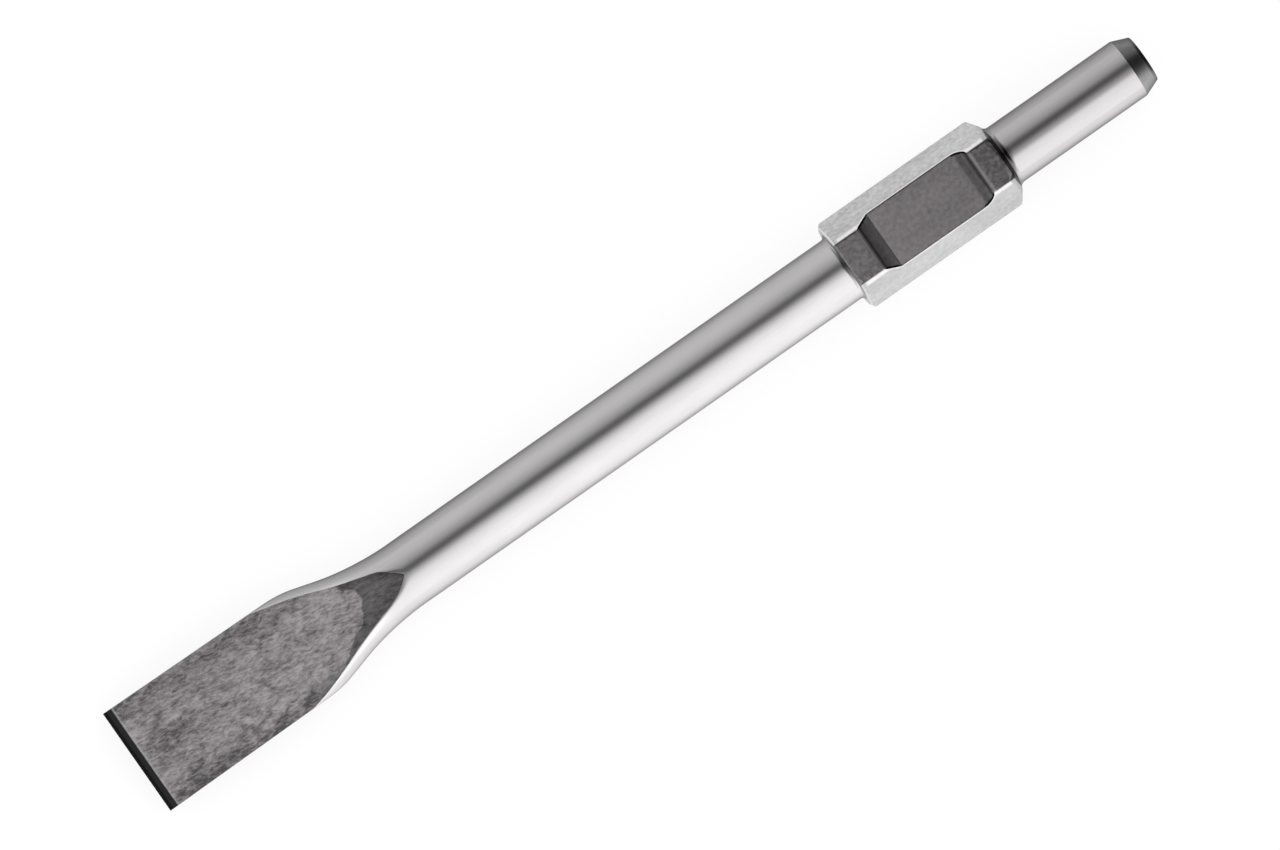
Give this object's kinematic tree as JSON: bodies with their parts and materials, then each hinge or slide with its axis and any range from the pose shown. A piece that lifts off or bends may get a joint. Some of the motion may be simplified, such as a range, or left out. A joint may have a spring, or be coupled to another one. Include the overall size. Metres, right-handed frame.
{
  "type": "flat chisel bit",
  "caption": "Forged flat chisel bit for a demolition hammer, with a round striking shank, a hexagon collar with a latch notch, a round shaft and a broad bevelled blade.",
  "frame": {"origin": "centre of the striking face, on the tool's axis", "axes": "+X along the axis and out of the striking face, so the blade lies towards -X; +Z out of the notched flat and the upper blade face; +Y along the cutting edge"},
  "size_m": [0.41, 0.0392, 0.0296],
  "materials": {
    "forged_steel": "satin ground bar and collar, dark grey forging scale on the blade faces, blackened bevel and striking end"
  },
  "bodies": {
    "root": {"flat_chisel": "forged_steel"}
  },
  "joints": []
}
